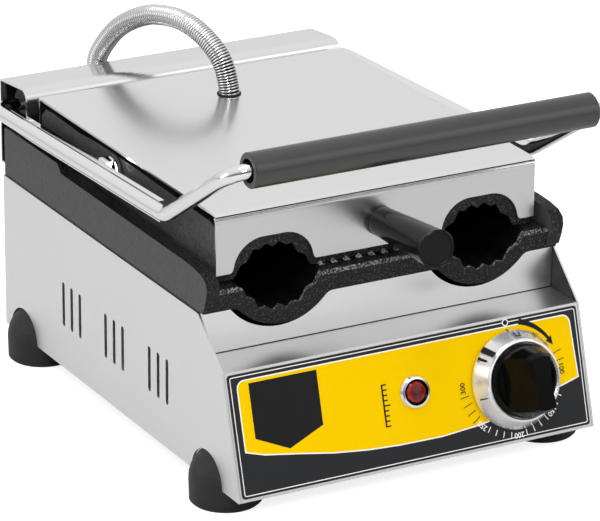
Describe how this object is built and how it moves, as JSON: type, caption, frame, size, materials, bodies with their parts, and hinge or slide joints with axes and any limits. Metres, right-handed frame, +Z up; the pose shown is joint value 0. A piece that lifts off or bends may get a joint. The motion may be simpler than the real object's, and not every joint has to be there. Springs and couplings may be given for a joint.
{
  "type": "waffle cone maker",
  "caption": "Countertop waffle cone maker with a stainless housing, fluted cone moulds, a bent-rod lift handle and a thermostat knob",
  "frame": {"origin": "on the floor under the middle of the part's bounding box", "axes": "+Z up, the control face looks towards -Y, +X to the right as seen from the front"},
  "size_m": [0.2802, 0.4096, 0.2438],
  "materials": {
    "stainless": "fine brushed stainless sheet",
    "galvanised": "dull galvanised sheet",
    "label": "printed polycarbonate film",
    "rubber": "moulded black rubber",
    "zinc": "zinc plated steel",
    "cast_iron": "rough black enamelled casting",
    "element_sheath": "heat tinted steel sheath",
    "mineral_wool": "pressed mineral wool",
    "white_plastic": "moulded insulating plastic",
    "copper": "bare copper",
    "chrome": "bright chrome plate",
    "red_lens": "clear red lens",
    "black_plastic": "satin black plastic",
    "black_gloss": "polished black phenolic",
    "spring_steel": "oiled spring wire",
    "spiral_steel": "wound stainless conduit",
    "brass": "turned brass"
  },
  "bodies": {
    "base": {"side_panel_left": "stainless", "side_panel_right": "stainless", "front_panel": "stainless", "rear_panel": "stainless", "bottom_plate": "galvanised", "control_label": "label", "foot_front_left": "rubber", "foot_front_right": "rubber", "foot_rear_left": "rubber", "foot_rear_right": "rubber", "foot_bolts": "zinc", "lower_casting": "cast_iron", "lower_heater": "element_sheath", "lower_insulation": "mineral_wool", "heat_shield": "galvanised", "thermostat_body": "white_plastic", "thermostat_nut": "zinc", "sensor_bulb": "copper", "pilot_bezel": "chrome", "pilot_lens": "red_lens", "pilot_body": "white_plastic", "terminal_block": "white_plastic", "cable_gland": "black_plastic", "hinge_deck": "zinc", "hinge_bracket_left": "zinc", "hinge_bracket_right": "zinc", "bracket_bolts": "zinc", "spring_housing": "stainless", "torsion_spring_left": "spring_steel", "torsion_spring_right": "spring_steel", "conduit": "spiral_steel", "conduit_gland": "zinc", "panel_screws": "zinc"},
    "lift_frame": {"lift_rod": "chrome", "arm_strap_left": "chrome", "arm_strap_right": "chrome", "pivot_stud_left": "zinc", "pivot_stud_right": "zinc", "pivot_nuts": "zinc", "stop_collar_left": "zinc", "stop_collar_right": "zinc", "lift_grip": "black_plastic"},
    "upper_plate": {"upper_casting": "cast_iron", "top_cover": "stainless", "cover_front": "stainless", "front_handle": "black_gloss", "handle_stud": "zinc", "upper_heater": "element_sheath", "upper_insulation": "mineral_wool", "conduit_ferrule": "black_gloss", "cover_screws": "zinc"},
    "knob": {"thermostat_spindle": "brass", "knob_skirt": "chrome", "knob_grip": "black_gloss"}
  },
  "joints": [
    {"name": "lid_hinge", "type": "hinge", "parent": "base", "child": "lift_frame", "pos_m": [0, 0.17109, 0.1696], "axis": [-1, 0, 0], "range_deg": [0, 65], "deforming": ["conduit", "torsion_spring_left", "torsion_spring_right"]},
    {"name": "plate_tilt", "type": "hinge", "parent": "lift_frame", "child": "upper_plate", "pos_m": [0, 0.02309, 0.17], "axis": [-1, 0, 0], "range_deg": [-6.5, 0]},
    {"name": "thermostat_knob", "type": "hinge", "parent": "base", "child": "knob", "pos_m": [0.075, -0.16343, 0.05566], "axis": [0, 0.96, -0.28], "range_deg": [0, 270]}
  ],
  "couplings": [
    {"joint": "plate_tilt", "follows": "lid_hinge", "ratio": -0.1}
  ]
}
